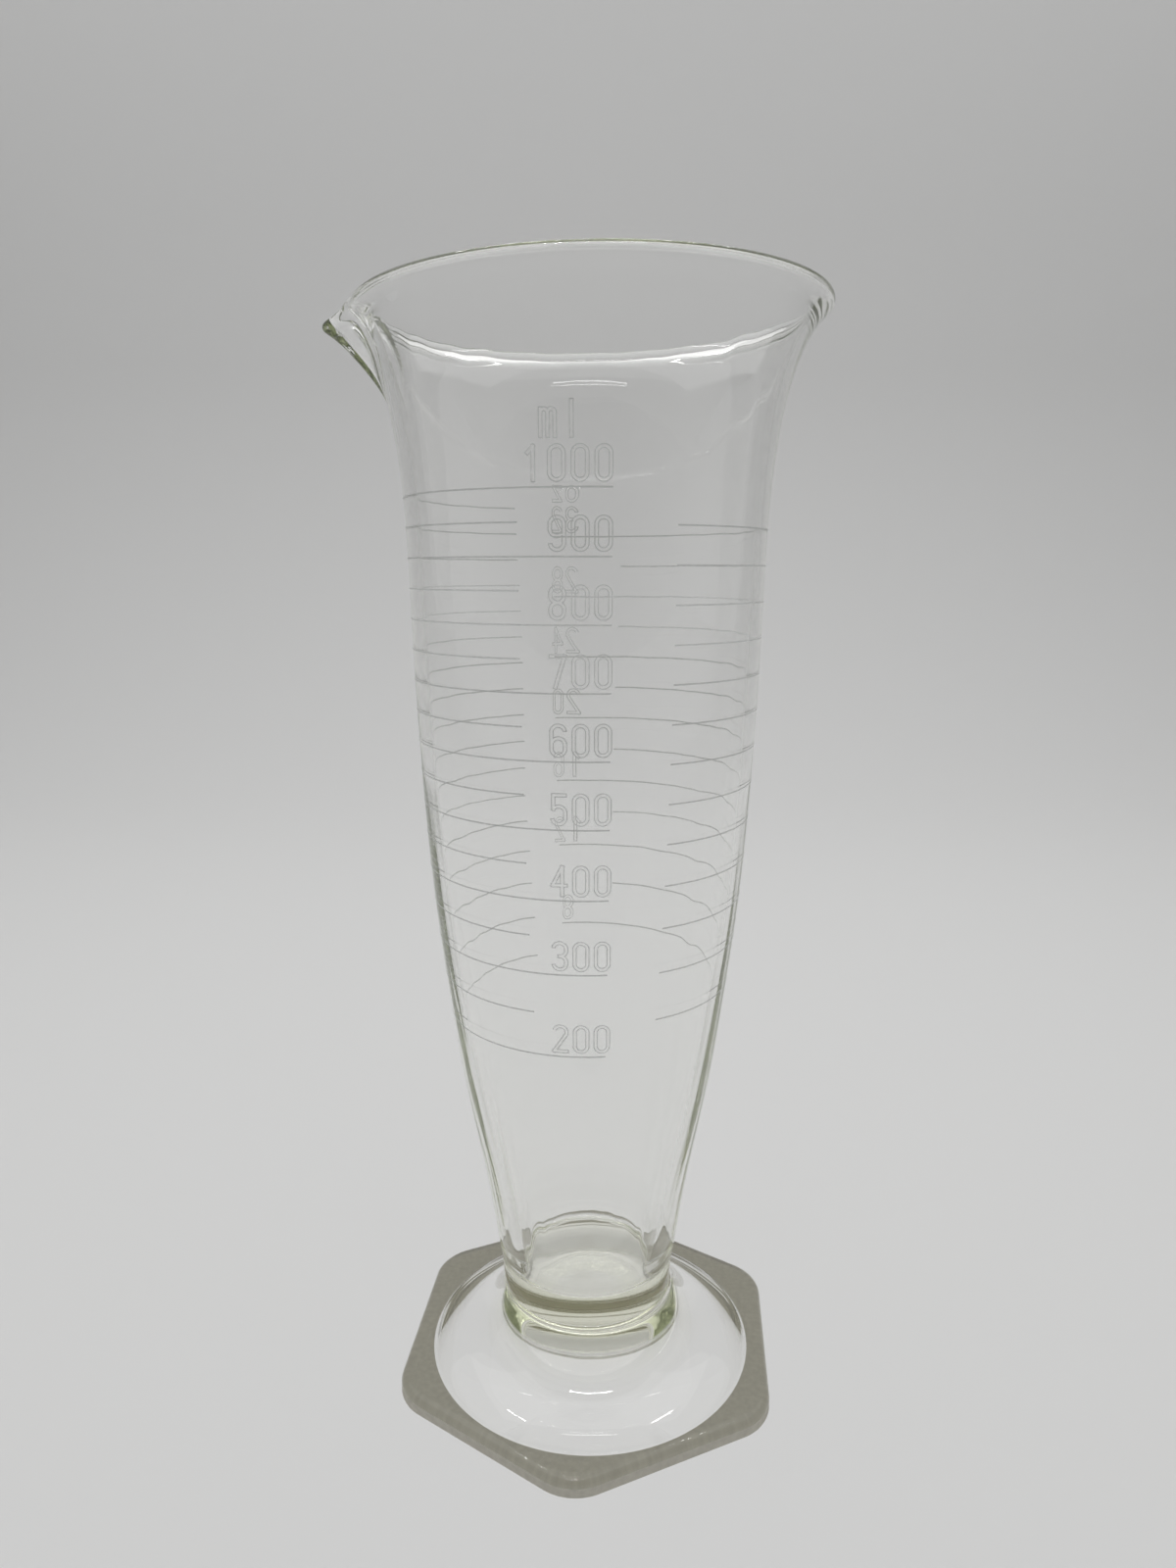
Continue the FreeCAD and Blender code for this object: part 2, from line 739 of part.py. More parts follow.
def add_dome(body):
    """The dome and its neck: a section with a concave flank, turned about the axis."""
    sketch = new_sketch(body, "dome_section", "XZ_Plane")
    top = dim("flange_height")
    outer, waist, neck = dim("dome_radius"), dim("waist_radius"), dim("neck_radius")
    waist_height, neck_top = dim("waist_height"), dim("neck_top")
    # The flank is level where it meets the flange, so its centre stands straight above that point.
    flank_radius = ((outer - waist) ** 2 + (waist_height - top) ** 2) / (2 * (waist_height - top))
    centre = V(outer, top + flank_radius, 0)
    start_angle = math.atan2(waist_height - centre.y, waist - centre.x) % (2 * math.pi)
    flank_circle = Part.Circle(centre, UP, flank_radius)
    base = sketch.addGeometry(Part.LineSegment(V(0, top / 2, 0), V(outer, top / 2, 0)), False)
    side = sketch.addGeometry(Part.LineSegment(V(outer, top / 2, 0), V(outer, top, 0)), False)
    flank = sketch.addGeometry(Part.ArcOfCircle(flank_circle, start_angle, 1.5 * math.pi), False)
    throat = sketch.addGeometry(
        Part.LineSegment(V(waist, waist_height, 0), V(neck, neck_top, 0)), False
    )
    lid = sketch.addGeometry(Part.LineSegment(V(neck, neck_top, 0), V(0, neck_top, 0)), False)
    core = sketch.addGeometry(Part.LineSegment(V(0, neck_top, 0), V(0, top / 2, 0)), False)
    join_ends(
        sketch,
        [(base, 1, 2), (side, 1, 2), (flank, 2, 1), (throat, 1, 2), (lid, 1, 2), (core, 1, 2)],
    )
    pin_point(sketch, base, 1, "0", "dims.flange_height / 2")
    pin_point(sketch, base, 2, "dims.dome_radius", "dims.flange_height / 2")
    pin_point(sketch, side, 2, "dims.dome_radius", "dims.flange_height")
    pin_point(sketch, throat, 1, "dims.waist_radius", "dims.waist_height")
    pin_point(sketch, throat, 2, "dims.neck_radius", "dims.neck_top")
    pin_point(sketch, core, 1, "0", "dims.neck_top")
    over_edge = sketch.addConstraint(Sketcher.Constraint("DistanceX", -1, 1, flank, 3, outer))
    bind(sketch, over_edge, "dims.dome_radius")
    turn_section(body, "PartDesign::Revolution", "dome", sketch)
    doc.recompute()


def round_waist(body):
    """Soften the crease at the waist."""
    dome = body.Tip
    height, radius = dim("waist_height"), dim("waist_radius")

    def at_waist(edge, middle):
        off = math.hypot(middle.x, middle.y) - radius
        return abs(middle.z - height) < 1e-3 and abs(off) < 1e-3

    crease = edges_at(dome.Shape, at_waist)
    waist_round = body.newObject("PartDesign::Fillet", "waist_round")
    waist_round.Base = (dome, crease)
    waist_round.setExpression("Radius", "dims.waist_round")
    doc.recompute()


def dig_hollow(body):
    """The hollow under the foot: a shallow round cap, open to the ground."""
    sketch = new_sketch(body, "hollow_section", "XZ_Plane")
    edge, crown = dim("hollow_radius"), dim("hollow_height")
    cap_radius = (edge**2 + crown**2) / (2 * crown)
    cap_circle = Part.Circle(V(0, crown - cap_radius, 0), UP, cap_radius)
    low_angle = math.atan2(cap_radius - crown, edge)
    floor = sketch.addGeometry(Part.LineSegment(V(0, 0, 0), V(edge, 0, 0)), False)
    cap = sketch.addGeometry(Part.ArcOfCircle(cap_circle, low_angle, math.pi / 2), False)
    core = sketch.addGeometry(Part.LineSegment(V(0, crown, 0), V(0, 0, 0)), False)
    join_ends(sketch, [(floor, 1, 2), (cap, 1, 2), (core, 1, 2)])
    pin_point(sketch, floor, 1, "0", "0")
    pin_point(sketch, floor, 2, "dims.hollow_radius", "0")
    pin_point(sketch, core, 1, "0", "dims.hollow_height")
    sketch.addConstraint(Sketcher.Constraint("PointOnObject", cap, 3, -2))
    before = body.Tip.Shape.Volume
    turn_section(body, "PartDesign::Groove", "hollow", sketch)
    doc.recompute()
    if body.Tip.Shape.Volume >= before:
        raise RuntimeError("the hollow cuts nothing")


def make_foot():
    """The pressed foot: a hexagonal flange, a bell-shaped dome up to a waist, hollow underneath."""
    body = doc.addObject("PartDesign::Body", "hex_foot")
    add_flange(body)
    add_dome(body)
    round_waist(body)
    dig_hollow(body)
    body.setExpression("Placement.Rotation.Angle", "dims.foot_turn * 1deg")
    body.setExpression("Placement.Base.x", "dims.foot_shift * 1mm")
    doc.recompute()
    return body


def make_seal():
    """The fused seal: a thin disc of softer glass between foot and vessel, with a bulging edge."""
    body = doc.addObject("PartDesign::Body", "fused_seal")
    sketch = new_sketch(body, "seal_section", "XZ_Plane")
    low, high = dim("neck_top"), dim("vessel_base")
    middle = (low + high) / 2
    edge, bulge = dim("neck_radius"), dim("seal_radius")
    under = sketch.addGeometry(Part.LineSegment(V(0, low, 0), V(edge, low, 0)), False)
    rounded = sketch.addGeometry(Part.Arc(V(edge, low, 0), V(bulge, middle, 0), V(edge, high, 0)), False)
    over = sketch.addGeometry(Part.LineSegment(V(edge, high, 0), V(0, high, 0)), False)
    core = sketch.addGeometry(Part.LineSegment(V(0, high, 0), V(0, low, 0)), False)
    join_ends(sketch, [(under, 1, 2), (rounded, 1, 2), (over, 1, 2), (core, 1, 2)])
    pin_point(sketch, under, 1, "0", "dims.neck_top")
    pin_point(sketch, under, 2, "dims.neck_radius", "dims.neck_top")
    pin_point(sketch, over, 1, "dims.neck_radius", "dims.vessel_base")
    pin_point(sketch, core, 1, "0", "dims.vessel_base")
    # The bulge's height over its chord and half that chord give its arc's centre.
    half = "(dims.vessel_base - dims.neck_top) / 2"
    swell = "(dims.seal_radius - dims.neck_radius)"
    place = sketch.getPoint(rounded, 3)
    centred = sketch.addConstraint(Sketcher.Constraint("DistanceX", -1, 1, rounded, 3, place.x))
    bind(sketch, centred, f"dims.seal_radius - (({half})^2 + {swell}^2) / (2 * {swell})")
    turn_section(body, "PartDesign::Revolution", "seal", sketch)
    doc.recompute()
    return body


# ---------------------------------------------------------------- the assembly


def add_feature(label, shape):
    """A sub-part whose shape is worked out above from the sheet's values."""
    feature = doc.addObject("Part::Feature", label)
    feature.Shape = shape
    feature.Placement = FreeCAD.Placement()
    return feature


def assemble():
    """Every sub-part, in the order it is put together."""
    parts = [make_foot(), make_seal(), add_feature("glass_vessel", make_vessel())]
    parts += [
        add_feature("ml_hundred_lines", line_family(HUNDRED_LINES, HUNDRED_ARC)),
        add_feature("ml_fifty_lines", line_family(FIFTY_LINES, FIFTY_ARC)),
        add_feature("ml_figures", make_millilitre_figures()),
        add_feature("ml_unit", make_millilitre_unit()),
        add_feature("oz_numbered_lines", line_family(NUMBERED_OUNCE_LINES, NUMBERED_OUNCE_ARC)),
        add_feature("oz_plain_lines", line_family(PLAIN_OUNCE_LINES, PLAIN_OUNCE_ARC)),
        add_feature("oz_figures", make_ounce_figures()),
        add_feature("oz_unit", make_ounce_unit()),
    ]
    for part in parts:
        part.Label = part.Name
    doc.recompute()
    return parts


def check(parts):
    """Stop if any object failed or any sub-part isn't a sound solid."""
    for thing in doc.Objects:
        if "Invalid" in thing.State or "Error" in thing.State:
            raise RuntimeError(f"{thing.Name} failed: {thing.State}")
    for part in parts:
        if part.Shape.isNull() or not part.Shape.isValid() or part.Shape.Volume <= 0:
            raise RuntimeError(f"{part.Label} isn't a sound solid")


def write(parts):
    """One STEP file for each sub-part."""
    os.makedirs("parts", exist_ok=True)
    for part in parts:
        part.Shape.exportStep(os.path.join("parts", f"{part.Label}.step"))
        print(part.Label, len(part.Shape.Solids), "solids", round(part.Shape.Volume), "mm3")


PARTS = assemble()
check(PARTS)
write(PARTS)
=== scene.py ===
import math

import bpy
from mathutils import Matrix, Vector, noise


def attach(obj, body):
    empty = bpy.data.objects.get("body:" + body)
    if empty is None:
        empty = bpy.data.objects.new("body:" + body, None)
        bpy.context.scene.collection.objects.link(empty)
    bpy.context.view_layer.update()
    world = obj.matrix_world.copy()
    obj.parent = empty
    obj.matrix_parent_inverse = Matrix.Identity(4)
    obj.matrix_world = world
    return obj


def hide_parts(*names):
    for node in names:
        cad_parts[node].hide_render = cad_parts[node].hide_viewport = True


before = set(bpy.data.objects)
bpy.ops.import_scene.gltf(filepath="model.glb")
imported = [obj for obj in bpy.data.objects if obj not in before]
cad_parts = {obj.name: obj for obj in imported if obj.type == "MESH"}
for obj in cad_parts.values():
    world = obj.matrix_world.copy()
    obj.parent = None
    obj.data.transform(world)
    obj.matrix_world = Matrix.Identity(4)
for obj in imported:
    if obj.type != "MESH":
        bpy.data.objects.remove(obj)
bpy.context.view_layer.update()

# The looks of a one-litre footed glass graduate: blown vessel, fused seal, pressed hexagonal foot and
# frosted scales. Lengths are millimetres until mesh_piece() turns them into metres. The vessel's axis is Z.

MM = 0.001

# ---------------------------------------------------------------- sizes, as in the design

RIM_HEIGHT = 302.8
RIM_RADIUS = 61.7
BEAD = 1.8
BEAD_ONSET = 5.0
RIM_LEAN = math.radians(54.0)
RIM_RISE = 0.017
LIP_SHIFT = 1.2
LIP_START = 274.5
SPOUT_REACH = 8.3
SPOUT_DROP = 1.9
SPOUT_HALF_ANGLE = 4.0
SPOUT_SHAPE = 1.3
SHOULDER_RISE = 2.2
SHOULDER_ANGLE = 7.1
SHOULDER_WIDTH = 4.0
SPOUT_ANGLE = 180.0
VESSEL_BASE = 24.0
HEEL_RADIUS = 25.2
HEEL_SLOPE = 0.1
HEEL_ROUND = 0.5
INNER_FLOOR = 31.0
INNER_CORNER = 2.5
WALL_LOW = 6.0
WALL_HIGH = 2.4
WALL_EVEN_HEIGHT = 180.0
STATIONS = [
    (31.0, 25.7),
    (36.6, 26.6),
    (41.0, 27.25),
    (63.8, 30.8),
    (89.2, 35.6),
    (114.4, 39.3),
    (146.9, 43.2),
    (174.9, 45.3),
    (208.6, 46.95),
    (239.8, 47.85),
    (257.0, 48.75),
    (272.7, 50.7),
    (285.4, 53.35),
    (293.2, 56.1),
]

FOOT_CORNERS = 124.0
FOOT_TURN = math.radians(-5.1)
FOOT_SHIFT = 1.0
FOOT_CORNER_ROUND = 15.0
FOOT_EDGE_ROUND = 2.2
FLANGE_HEIGHT = 5.2
DOME_RADIUS = 50.2
WAIST_RADIUS = 24.7
WAIST_HEIGHT = 21.2
WAIST_SOFT = 0.7
NECK_RADIUS = 25.0
NECK_TOP = 22.4
HOLLOW_RADIUS = 48.1
HOLLOW_HEIGHT = 12.5
SEAL_RADIUS = 25.35

# The arris round the ground underside, and the small bevel at its corner.
ARRIS = 0.5
BEVEL_INSET = 0.15
BEVEL_HEIGHT = 0.12

# How finely the pieces are divided: points up the wall, round the foot and round the seal.
WALL_STEPS = 110
HOLLOW_STEPS = 40
FLANK_STEPS = 30
EDGE_STEPS = 8
FLAT_STEPS = 3
FOOT_COLUMNS = 360
SEAL_COLUMNS = 240

# The inner wall's unevenness, and the height over which it fades out towards the floor.
RIPPLE = 0.16
RIPPLE_FADE = 20.0

# Camera, from the vessel's axis on the floor.
CAMERA_PLACE = (0.3, -298.9, 236.3)
CAMERA_PITCH = math.radians(11.175)
CAMERA_LENS = 24.8625
SENSOR = 36.0

# The floor lies this far under the ground ring, so that no two faces share a plane.
FLOOR_GAP = 0.05

# A hair's breadth between fused pieces keeps their faces from lying in one plane. Light passes straight
# through those faces, out to this radius, because the glass is one there.
HAIR = 0.01
FUSED_RADIUS = HEEL_RADIUS - HEEL_ROUND
FUSED = "fused"
SEAM_REACH = 0.005


# ---------------------------------------------------------------- curves


def smooth_curve(points, start, end):
    """A smooth cubic through 2D points, leaving and arriving in the given directions.

    Returns place(s) and direction(s), with s running along the chords, and the value of s at the end.
    """
    steps = [math.dist(a, b) for a, b in zip(points, points[1:])]
    stations = [0.0]
    for step in steps:
        stations.append(stations[-1] + step)
    points = [Vector(point) for point in points]
    slopes = [(b - a) / step for a, b, step in zip(points, points[1:], steps)]
    tangents = [Vector(start).normalized()] + slopes[1:] + [Vector(end).normalized()]
    for _ in range(80):
        for number in range(1, len(points) - 1):
            before, after = steps[number - 1], steps[number]
            pull = 3 * (slopes[number - 1] / before + slopes[number] / after)
            pull -= tangents[number - 1] / before + tangents[number + 1] / after
            tangents[number] = pull / (2 / before + 2 / after)

    def span(s):
        number = 0
        while number < len(steps) - 1 and s > stations[number + 1]:
            number += 1
        return number, (s - stations[number]) / steps[number]

    def place(s):
        number, share = span(s)
        step = steps[number]
        square, cube = share * share, share**3
        return (
            points[number] * (2 * cube - 3 * square + 1)
            + tangents[number] * (step * (cube - 2 * square + share))
            + points[number + 1] * (3 * square - 2 * cube)
            + tangents[number + 1] * (step * (cube - square))
        )

    def direction(s):
        small = 1e-4 * stations[-1]
        low, high = max(0.0, s - small), min(stations[-1], s + small)
        return (place(high) - place(low)).normalized()

    return place, direction, stations[-1]


def outer_profile():
    """The vessel's outer profile in radius and height, from above the heel to the rim's bead."""
    bead_radius = RIM_RADIUS - BEAD + BEAD * math.cos(RIM_LEAN)
    bead_height = RIM_HEIGHT - BEAD - BEAD * math.sin(RIM_LEAN)
    points = [(HEEL_RADIUS, VESSEL_BASE + HEEL_ROUND)]
    points += [(radius, height) for height, radius in STATIONS]
    points.append((bead_radius, bead_height))
    return smooth_curve(points, (HEEL_SLOPE, 1.0), (math.sin(RIM_LEAN), math.cos(RIM_LEAN)))


PLACE, DIRECTION, LENGTH = outer_profile()


def outer_radius(height):
    """Radius of the vessel's outside at a height."""
    low, high = 0.0, LENGTH
    for _ in range(40):
        middle = (low + high) / 2
        if PLACE(middle).y < height:
            low = middle
        else:
            high = middle
    return PLACE(low).x


def wall_thickness(height):
    """Heavy near the floor, even higher up, and soon as thick as the bead below the rim."""
    if height < WALL_EVEN_HEIGHT:
        share = max(0.0, (height - INNER_FLOOR) / (WALL_EVEN_HEIGHT - INNER_FLOOR))
        return WALL_LOW + (WALL_HIGH - WALL_LOW) * share
    share = max(0.0, 1 - (PLACE(LENGTH).y - height) / BEAD_ONSET)
    return WALL_HIGH + (2 * BEAD - WALL_HIGH) * share**2


def arc(centre, radius, first, last, steps):
    """Points of a circular arc in radius and height, angles in degrees."""
    points = []
    for step in range(steps + 1):
        angle = math.radians(first + (last - first) * step / steps)
        points.append(Vector((centre[0] + radius * math.cos(angle), centre[1] + radius * math.sin(angle))))
    return points


def wall_section():
    """Radius and height round the wall: heel, outside, bead, inside and the corner at the floor."""
    heel = arc((HEEL_RADIUS - HEEL_ROUND, VESSEL_BASE + HEEL_ROUND), HEEL_ROUND, -90, 0, 8)[:-1]
    outside, inside = [], []
    for step in range(WALL_STEPS + 1):
        s = LENGTH * step / WALL_STEPS
        point, along = PLACE(s), DIRECTION(s)
        outside.append(point)
        inside.append(point + Vector((-along.y, along.x)) * wall_thickness(point.y))
    lean = math.degrees(RIM_LEAN)
    bead = arc((RIM_RADIUS - BEAD, RIM_HEIGHT - BEAD), BEAD, -lean, 180 - lean, 16)[1:-1]
    corner_top = INNER_FLOOR + INNER_CORNER
    inside = [point for point in reversed(inside) if point.y > corner_top]
    wall_radius = outer_radius(corner_top) - wall_thickness(corner_top)
    corner = arc((wall_radius - INNER_CORNER, corner_top), INNER_CORNER, 0, -90, 20)
    return heel + outside + bead + inside + corner, len(heel) + len(outside) + len(bead) // 2


# ---------------------------------------------------------------- meshes


def mesh_piece(name, points, faces, material, marks=None, fused=None):
    """An object from points in millimetres and faces, smoothly shaded.

    marks gives some faces a second material, and fused(middle) picks the faces that light passes straight.
    """
    mesh = bpy.data.meshes.new(name)
    mesh.from_pydata([Vector(point) * MM for point in points], [], faces)
    mesh.materials.append(material)
    if marks:
        second, numbers = marks
        mesh.materials.append(second)
        for number in numbers:
            mesh.polygons[number].material_index = 1
    mesh.validate()
    mesh.update()
    if fused:
        layer = mesh.attributes.new(FUSED, "FLOAT", "FACE")
        for face in mesh.polygons:
            layer.data[face.index].value = 1.0 if fused(face.center / MM) else 0.0
    mesh.shade_smooth()
    piece = bpy.data.objects.new(name, mesh)
    bpy.context.scene.collection.objects.link(piece)
    return piece


def turned_faces(columns, rows):
    """Faces of a closed skin swept round the axis, with a point at its start and at its end."""
    faces = []
    for column in range(columns):
        beside = (column + 1) % columns
        for row in range(rows - 1):
            a, b = column * rows + row, beside * rows + row
            faces.append((a, b, b + 1, a + 1))
    first, last = columns * rows, columns * rows + 1
    for column in range(columns):
        beside = (column + 1) % columns
        faces.append((first, beside * rows, column * rows))
        faces.append((last, column * rows + rows - 1, beside * rows + rows - 1))
    return faces


def worked_share(height):
    """How much of the lip's hand work shows at a height."""
    share = min(1.0, max(0.0, (height - LIP_START) / (RIM_HEIGHT - LIP_START)))
    return share * share * (3 - 2 * share)


def worked_point(radius, height, degrees):
    """A section point carried round to an angle, with the spout pulled out and the rim a little aslant."""
    share = worked_share(height)
    away = (degrees - SPOUT_ANGLE + 180.0) % 360.0 - 180.0
    beak = math.exp(-abs(away / SPOUT_HALF_ANGLE) ** SPOUT_SHAPE)
    shoulder = math.exp(-(((abs(away) - SHOULDER_ANGLE) / SHOULDER_WIDTH) ** 2))
    radius += share * SPOUT_REACH * beak
    angle = math.radians(degrees)
    x, y = radius * math.cos(angle), radius * math.sin(angle)
    rise = RIM_RISE * x - SPOUT_DROP * beak + SHOULDER_RISE * shoulder
    return Vector((x + share * LIP_SHIFT, y, height + share * rise))


def within_fused(middle):
    """Whether a face's middle is near enough to the axis for the glass to be one there."""
    return math.hypot(middle.x, middle.y) < FUSED_RADIUS


def turn_angles():
    """Angles for one turn: close together at the spout and wider elsewhere."""
    angles = [0.0]
    while angles[-1] < 360.0 - 1e-6:
        angles.append(angles[-1] + (0.5 if abs(angles[-1] - SPOUT_ANGLE + 0.1) < 24.0 else 1.5))
    return angles[:-1]


def ripple(angle, height, size):
    """The faint unevenness of blown glass: mostly upright streaks, drifting slowly up the wall."""
    around = Vector((math.cos(angle), math.sin(angle), 0.0))
    broad = noise.noise(around * 3.1 + Vector((0, 0, height * 0.010)))
    fine = noise.noise(around * 9.0 + Vector((7, 0, height * 0.014)))
    return size * (broad + 0.5 * fine)


def make_vessel(material):
    """The blown vessel, with its spout, bead and thick floor."""
    section, rim = wall_section()
    angles = turn_angles()
    points = []
    for degrees in angles:
        angle = math.radians(degrees)
        for row, point in enumerate(section):
            radius = point.x
            if row > rim and point.y > INNER_FLOOR + INNER_CORNER:
                fade = min(1.0, (point.y - INNER_FLOOR - INNER_CORNER) / RIPPLE_FADE)
                radius += fade * (1 - worked_share(point.y)) * ripple(angle, point.y, RIPPLE)
            points.append(worked_point(radius, point.y, degrees))
    points.append(Vector((0, 0, section[0].y)))
    points.append(Vector((0, 0, section[-1].y)))
    return mesh_piece(
        "vessel",
        points,
        turned_faces(len(angles), len(section)),
        material,
        fused=lambda middle: middle.z < VESSEL_BASE + SEAM_REACH and within_fused(middle),
    )


def hexagon_radius(angle, inset):
    """Distance from the axis to the rounded hexagon's outline, drawn in by an inset."""
    flat = FOOT_CORNERS / 2 * math.cos(math.radians(30)) - inset
    rounding = FOOT_CORNER_ROUND - inset
    half_side = math.radians(30)
    from_side = abs((angle - FOOT_TURN + half_side) % (2 * half_side) - half_side)
    if flat * math.tan(from_side) <= (flat - rounding) * math.tan(half_side):
        return flat / math.cos(from_side)
    centre = (flat - rounding) / math.cos(half_side)
    off = from_side - half_side
    return centre * math.cos(off) + math.sqrt(rounding**2 - (centre * math.sin(off)) ** 2)


def foot_section(angle):
    """Radius and height round the foot at an angle: hollow, ground ring, edge, flange, dome and neck.

    Also the numbers of the first and last rows of points that bound the ground finish.
    """
    points = []
    cap = (HOLLOW_RADIUS**2 + HOLLOW_HEIGHT**2) / (2 * HOLLOW_HEIGHT)
    for step in range(1, HOLLOW_STEPS + 1):
        radius = HOLLOW_RADIUS * step / HOLLOW_STEPS
        points.append((radius, HOLLOW_HEIGHT - cap + math.sqrt(cap**2 - radius**2)))
    ground = len(points) - 1
    edge = hexagon_radius(angle, 0.0)
    for step in range(1, FLAT_STEPS + 1):
        points.append((HOLLOW_RADIUS + (edge - ARRIS - HOLLOW_RADIUS) * step / FLAT_STEPS, 0.0))
    points += [(hexagon_radius(angle, BEVEL_INSET), BEVEL_HEIGHT), (edge, ARRIS)]
    for step in range(1, FLAT_STEPS + 1):
        points.append((edge, ARRIS + (FLANGE_HEIGHT - FOOT_EDGE_ROUND - ARRIS) * step / FLAT_STEPS))
    ground_end = len(points) - 1
    for step in range(1, EDGE_STEPS + 1):
        tilt = math.radians(90 * step / EDGE_STEPS)
        inset = FOOT_EDGE_ROUND * (1 - math.cos(tilt))
        height = FLANGE_HEIGHT - FOOT_EDGE_ROUND * (1 - math.sin(tilt))
        points.append((hexagon_radius(angle, inset), height))
    inner_edge = hexagon_radius(angle, FOOT_EDGE_ROUND)
    for step in range(1, FLAT_STEPS + 1):
        points.append((inner_edge + (DOME_RADIUS - inner_edge) * step / FLAT_STEPS, FLANGE_HEIGHT))
    rise, reach = WAIST_HEIGHT - FLANGE_HEIGHT, DOME_RADIUS - WAIST_RADIUS
    flank = (reach**2 + rise**2) / (2 * rise)
    turn = math.acos(1 - rise / flank)
    for step in range(1, FLANK_STEPS):
        tilt = turn * step / FLANK_STEPS
        points.append((DOME_RADIUS - flank * math.sin(tilt), FLANGE_HEIGHT + flank * (1 - math.cos(tilt))))
    points += waist_points(turn)
    points.append((NECK_RADIUS, NECK_TOP))
    points.append((FUSED_RADIUS, NECK_TOP))
    return points, ground, ground_end


def waist_points(turn):
    """The softened crease between the dome's flank and the neck that widens again above it."""
    start = Vector((WAIST_RADIUS + WAIST_SOFT * math.cos(turn), WAIST_HEIGHT - WAIST_SOFT * math.sin(turn)))
    crease = Vector((WAIST_RADIUS, WAIST_HEIGHT))
    throat = Vector((NECK_RADIUS - WAIST_RADIUS, NECK_TOP - WAIST_HEIGHT)).normalized()
    end = crease + throat * WAIST_SOFT
    points = []
    for step in range(1, 10):
        share = step / 9
        points.append(start * (1 - share) ** 2 + crease * (2 * share * (1 - share)) + end * share**2)
    return [tuple(point) for point in points]


def make_foot(clear, ground_glass):
    """The pressed foot, its underside ground outside the hollow.

    The flange's straight sides have the ground finish too, as a stand-in for the ring seen through them.
    """
    columns = FOOT_COLUMNS
    points = []
    for column in range(columns):
        angle = 2 * math.pi * column / columns
        section, ground, ground_end = foot_section(angle)
        for radius, height in section:
            points.append((FOOT_SHIFT + radius * math.cos(angle), radius * math.sin(angle), height))
    rows = len(section)
    points.append((FOOT_SHIFT, 0, HOLLOW_HEIGHT))
    points.append((FOOT_SHIFT, 0, NECK_TOP))
    ground_faces = []
    for column in range(columns):
        for row in range(ground, ground_end):
            ground_faces.append(column * (rows - 1) + row)
    return mesh_piece(
        "foot",
        points,
        turned_faces(columns, rows),
        clear,
        marks=(ground_glass, ground_faces),
        fused=lambda middle: middle.z > NECK_TOP - SEAM_REACH and within_fused(middle),
    )


def make_seal(material):
    """The fused seal, a disc with a rounded edge a hair clear of the pieces it joins."""
    low, high = NECK_TOP + HAIR, VESSEL_BASE - HAIR
    half, swell = (high - low) / 2, SEAL_RADIUS - NECK_RADIUS
    bend = (half**2 + swell**2) / (2 * swell)
    tilt = math.degrees(math.asin(half / bend))
    section = [(FUSED_RADIUS, low)]
    section += arc((SEAL_RADIUS - bend, low + half), bend, -tilt, tilt, 12)
    section.append((FUSED_RADIUS, high))
    columns = SEAL_COLUMNS
    points = []
    for column in range(columns):
        angle = 2 * math.pi * column / columns
        for point in section:
            points.append((point[0] * math.cos(angle), point[0] * math.sin(angle), point[1]))
    points.append((0, 0, low))
    points.append((0, 0, high))
    return mesh_piece(
        "seal",
        points,
        turned_faces(columns, len(section)),
        material,
        fused=lambda middle: abs(middle.z - low - half) > half - SEAM_REACH and within_fused(middle),
    )


# ---------------------------------------------------------------- materials


def new_material(name):
    """A node material with a Principled shader: the material, its nodes, its links and the shader."""
    material = bpy.data.materials.new(name)
    material.use_nodes = True
    tree = material.node_tree
    shader = tree.nodes["Principled BSDF"]
    return material, tree.nodes, tree.links, shader


def add_waviness(nodes, links, shader, scale, strength, distance):
    """Fine surface waviness, as a bump from noise in object space."""
    place = nodes.new("ShaderNodeTexCoord")
    wave = nodes.new("ShaderNodeTexNoise")
    wave.inputs["Scale"].default_value = scale
    wave.inputs["Detail"].default_value = 2.0
    bump = nodes.new("ShaderNodeBump")
    bump.inputs["Strength"].default_value = strength
    bump.inputs["Distance"].default_value = distance
    links.new(place.outputs["Object"], wave.inputs["Vector"])
    links.new(wave.outputs["Fac"], bump.inputs["Height"])
    links.new(bump.outputs["Normal"], shader.inputs["Normal"])


def glass(name, depth_tint, waviness):
    """Clear soda-lime glass, faintly green where it is thick, with a slightly uneven surface."""
    material, nodes, links, shader = new_material(name)
    shader.inputs["Base Color"].default_value = (1.0, 1.0, 1.0, 1.0)
    shader.inputs["Roughness"].default_value = 0.0
    shader.inputs["IOR"].default_value = 1.5
    shader.inputs["Transmission Weight"].default_value = 1.0
    add_waviness(nodes, links, shader, 45.0, waviness, 0.0004)
    seam = nodes.new("ShaderNodeAttribute")
    seam.attribute_name = FUSED
    surface = nodes.new("ShaderNodeMath")
    surface.operation = "SUBTRACT"
    surface.inputs[0].default_value = 1.0
    links.new(seam.outputs["Fac"], surface.inputs[1])
    links.new(surface.outputs["Value"], shader.inputs["Alpha"])
    depth = nodes.new("ShaderNodeVolumeAbsorption")
    depth.inputs["Color"].default_value = (*depth_tint, 1.0)
    depth.inputs["Density"].default_value = 100.0
    links.new(depth.outputs["Volume"], nodes["Material Output"].inputs["Volume"])
    return material


